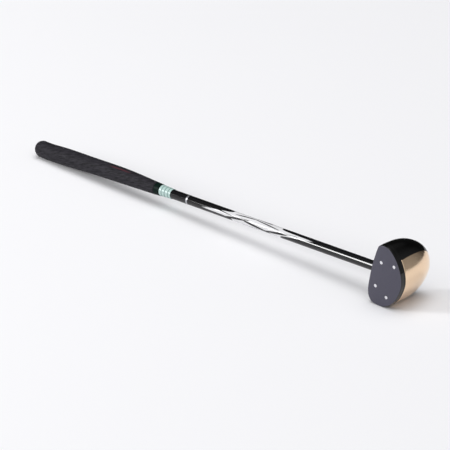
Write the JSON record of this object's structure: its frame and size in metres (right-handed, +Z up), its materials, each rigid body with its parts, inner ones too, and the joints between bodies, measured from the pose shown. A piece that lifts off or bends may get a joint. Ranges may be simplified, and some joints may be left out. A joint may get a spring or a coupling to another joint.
{
  "type": "park golf club",
  "caption": "Left-hand park golf club lying on its heel: black wooden head with grey face plate and brass sole, straight black shaft, mint collar, rubber grip.",
  "frame": {"origin": "middle of the club's bounding box, at floor level", "axes": "+X along the club from the grip to the head, -Y the way the striking face looks, +Z up with the club lying on a floor"},
  "size_m": [0.8266, 0.0826, 0.0983],
  "materials": {
    "lacquered_wood": "gloss black lacquer over maple",
    "satin_grey_resin": "satin, ground flat",
    "polished_steel": "polished",
    "polished_brass": "polished and lacquered",
    "black_acetate": "gloss",
    "black_gloss_paint": "gloss paint over wound carbon fibre",
    "natural_nylon": "as moulded",
    "silver_ring": "polished",
    "mint_collar": "gloss",
    "dark_green_ring": "gloss",
    "charcoal_rubber": "matte",
    "tape_paper": "matte"
  },
  "bodies": {
    "root": {"head_body": "lacquered_wood", "face_plate": "satin_grey_resin", "brass_sole": "polished_brass", "face_screw_crown_toe": "polished_steel", "face_screw_crown_heel": "polished_steel", "face_screw_sole_toe": "polished_steel", "face_screw_sole_heel": "polished_steel", "neck_ferrule": "black_acetate", "shaft_tube": "black_gloss_paint", "shaft_tip_plug": "natural_nylon", "shaft_butt_plug": "natural_nylon", "trim_ring": "silver_ring", "grip_collar": "mint_collar", "grip_mouth_ring": "dark_green_ring", "grip_sleeve": "charcoal_rubber", "grip_tape": "tape_paper"}
  },
  "joints": []
}
